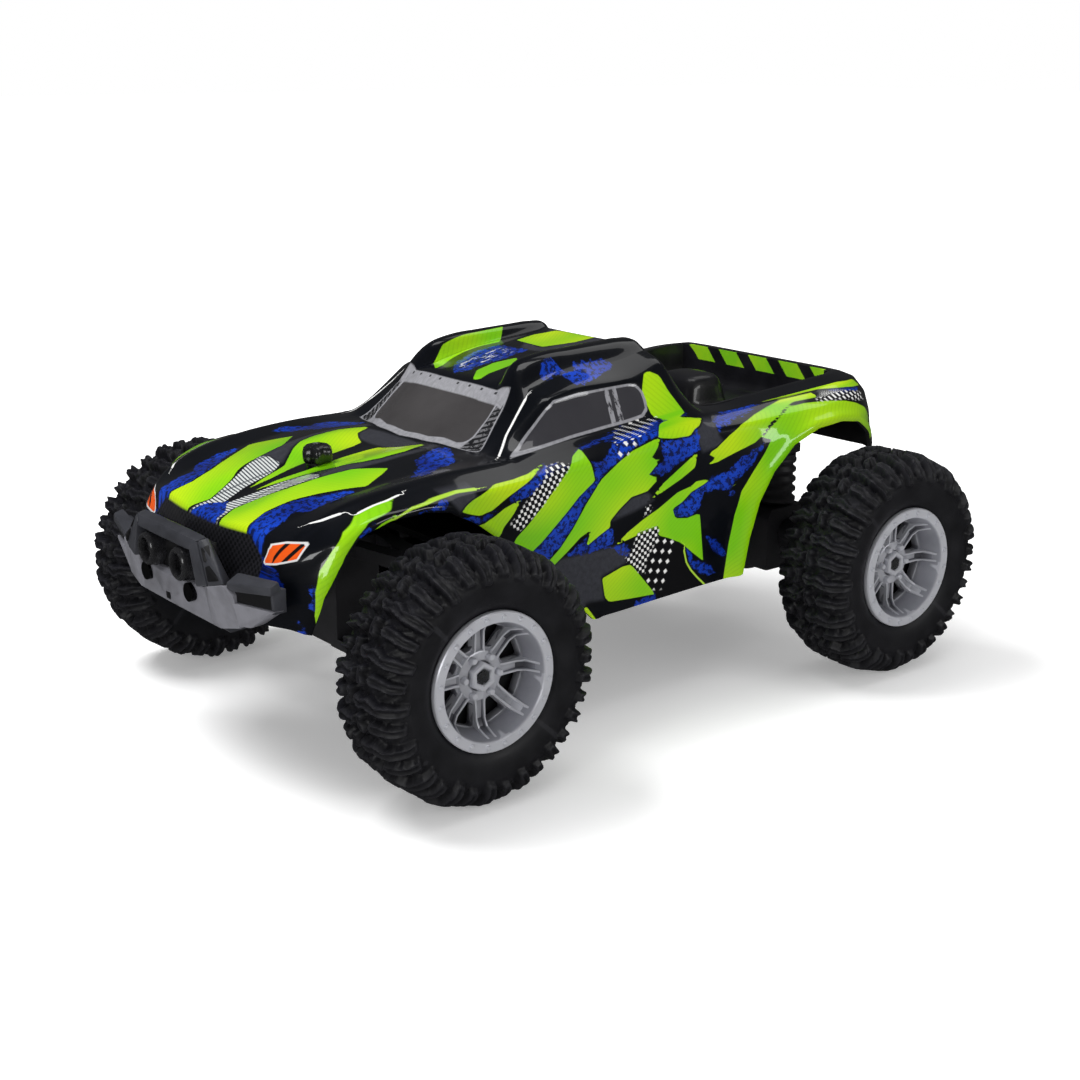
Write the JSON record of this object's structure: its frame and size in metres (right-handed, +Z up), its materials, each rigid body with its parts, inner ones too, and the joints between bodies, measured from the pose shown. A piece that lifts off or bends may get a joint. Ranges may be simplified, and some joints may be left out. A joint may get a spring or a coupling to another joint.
{
  "type": "rc monster truck",
  "caption": "Small radio-controlled pickup truck with a thin graphic shell, open bed, large lugged tyres, sprung steering front wheels and a geared, sprung rear axle.",
  "frame": {"origin": "on the ground under the middle of the truck's bounding box", "axes": "+X forward, +Y to the truck's left, +Z up"},
  "size_m": [0.1354, 0.0936, 0.0582],
  "materials": {
    "shell": "gloss black shell with green and blue graphics",
    "bumper_plastic": "satin dark grey moulding",
    "black_plastic": "black moulded nylon",
    "clip_plastic": "gloss black knob",
    "screw_black": "black oxide screws",
    "screw_steel": "zinc plated steel",
    "steel_pin": "ground steel pins",
    "spring_steel": "spring wire",
    "rim_silver": "satin silver-grey plastic",
    "tyre_rubber": "matte black rubber",
    "bronze": "sintered bronze bushes",
    "gear_plastic": "natural acetal",
    "gear_brass": "brass pinion",
    "motor_can": "plated motor can",
    "circuit_board": "green circuit board",
    "battery_sleeve": "blue shrink sleeve",
    "lamp": "clear moulded lamp"
  },
  "bodies": {
    "chassis": {"chassis_tub": "black_plastic", "chassis_screws": "screw_steel", "radio_deck": "black_plastic", "receiver_board": "circuit_board", "battery_pack": "battery_sleeve", "battery_cover": "black_plastic", "battery_cover_screw": "screw_steel", "switch_housing": "black_plastic", "front_body_post": "black_plastic", "steering_servo": "black_plastic", "front_arm_left": "black_plastic", "front_arm_right": "black_plastic", "kingpin_left": "steel_pin", "kingpin_right": "steel_pin", "kingpin_spring_left": "spring_steel", "kingpin_spring_right": "spring_steel", "rear_spring_left": "spring_steel", "rear_spring_right": "spring_steel", "pod_hinge_pin": "steel_pin", "rear_upper_frame": "black_plastic", "rear_body_posts": "black_plastic", "body_shell": "shell", "bonnet_clip": "clip_plastic", "front_bumper": "bumper_plastic", "bumper_screws": "screw_black", "headlights": "lamp"},
    "spring_seat_left": {"spring_seat_left": "screw_steel"},
    "knuckle_left": {"knuckle_left": "black_plastic", "stub_axle_left": "steel_pin", "wheel_nut_front_left": "screw_steel"},
    "front_wheel_left": {"rim_front_left": "rim_silver", "tyre_front_left": "tyre_rubber", "hub_bushes_left": "bronze"},
    "spring_seat_right": {"spring_seat_right": "screw_steel"},
    "knuckle_right": {"knuckle_right": "black_plastic", "stub_axle_right": "steel_pin", "wheel_nut_front_right": "screw_steel"},
    "front_wheel_right": {"rim_front_right": "rim_silver", "tyre_front_right": "tyre_rubber", "hub_bushes_right": "bronze"},
    "tie_rod": {"tie_rod": "black_plastic"},
    "servo_horn": {"servo_horn": "clip_plastic"},
    "power_switch": {"power_switch": "clip_plastic"},
    "rear_pod": {"gearbox_case_left": "black_plastic", "gearbox_case_right": "black_plastic", "gearbox_screws": "screw_steel", "drive_motor": "motor_can", "idler_shaft": "steel_pin", "axle_bushes": "bronze"},
    "rear_wheels": {"rear_axle": "steel_pin", "axle_gear": "gear_plastic", "rim_rear_left": "rim_silver", "rim_rear_right": "rim_silver", "tyre_rear_left": "tyre_rubber", "tyre_rear_right": "tyre_rubber", "wheel_nut_rear_left": "screw_steel", "wheel_nut_rear_right": "screw_steel"},
    "idler_gear": {"idler_gear": "gear_plastic"},
    "pinion_gear": {"pinion_gear": "gear_brass"}
  },
  "joints": [
    {"name": "suspension_left", "type": "slide", "parent": "chassis", "child": "spring_seat_left", "axis": [0, 0, 1], "range_m": [0, 0.0025], "stiffness_N_per_m": 400, "springref_m": -0.0015, "deforming": ["kingpin_spring_left"]},
    {"name": "suspension_right", "type": "slide", "parent": "chassis", "child": "spring_seat_right", "axis": [0, 0, 1], "range_m": [0, 0.0025], "stiffness_N_per_m": 400, "springref_m": -0.0015, "deforming": ["kingpin_spring_right"]},
    {"name": "steer_left", "type": "hinge", "parent": "spring_seat_left", "child": "knuckle_left", "pos_m": [0.0401, 0.03, 0.018], "axis": [0, 0, 1], "range_deg": [-18, 18]},
    {"name": "steer_right", "type": "hinge", "parent": "spring_seat_right", "child": "knuckle_right", "pos_m": [0.0401, -0.03, 0.018], "axis": [0, 0, 1], "range_deg": [-18, 18]},
    {"name": "front_wheel_spin_left", "type": "hinge", "parent": "knuckle_left", "child": "front_wheel_left", "pos_m": [0.0401, 0.0397, 0.019], "axis": [0, 1, 0], "continuous": true},
    {"name": "front_wheel_spin_right", "type": "hinge", "parent": "knuckle_right", "child": "front_wheel_right", "pos_m": [0.0401, -0.0397, 0.019], "axis": [0, 1, 0], "continuous": true},
    {"name": "tie_rod_slide", "type": "slide", "parent": "chassis", "child": "tie_rod", "axis": [0, 1, 0], "range_m": [-0.00233, 0.00233]},
    {"name": "servo_horn_turn", "type": "hinge", "parent": "chassis", "child": "servo_horn", "pos_m": [0.02547, 0, 0.023], "axis": [0, 0, 1], "range_deg": [-18, 18]},
    {"name": "rear_pod_swing", "type": "hinge", "parent": "chassis", "child": "rear_pod", "pos_m": [-0.0205, 0, 0.0145], "axis": [0, 1, 0], "range_deg": [0, 7], "stiffness_Nm_per_rad": 0.6, "springref_deg": -4.58, "deforming": ["rear_spring_left", "rear_spring_right"]},
    {"name": "rear_axle_spin", "type": "hinge", "parent": "rear_pod", "child": "rear_wheels", "pos_m": [-0.0487, 0, 0.019], "axis": [0, 1, 0], "continuous": true},
    {"name": "idler_spin", "type": "hinge", "parent": "rear_pod", "child": "idler_gear", "pos_m": [-0.03968, 0, 0.02228], "axis": [0, 1, 0], "continuous": true},
    {"name": "pinion_spin", "type": "hinge", "parent": "rear_pod", "child": "pinion_gear", "pos_m": [-0.03171, 0, 0.02159], "axis": [0, 1, 0], "continuous": true},
    {"name": "switch_slide", "type": "slide", "parent": "chassis", "child": "power_switch", "axis": [1, 0, 0], "range_m": [0, 0.003]}
  ],
  "couplings": [
    {"joint": "steer_right", "follows": "steer_left", "ratio": 1},
    {"joint": "tie_rod_slide", "follows": "steer_left", "m_per_rad": -0.0073772},
    {"joint": "servo_horn_turn", "follows": "steer_left", "ratio": -1},
    {"joint": "idler_spin", "follows": "rear_axle_spin", "ratio": -3},
    {"joint": "pinion_spin", "follows": "rear_axle_spin", "ratio": 9}
  ]
}
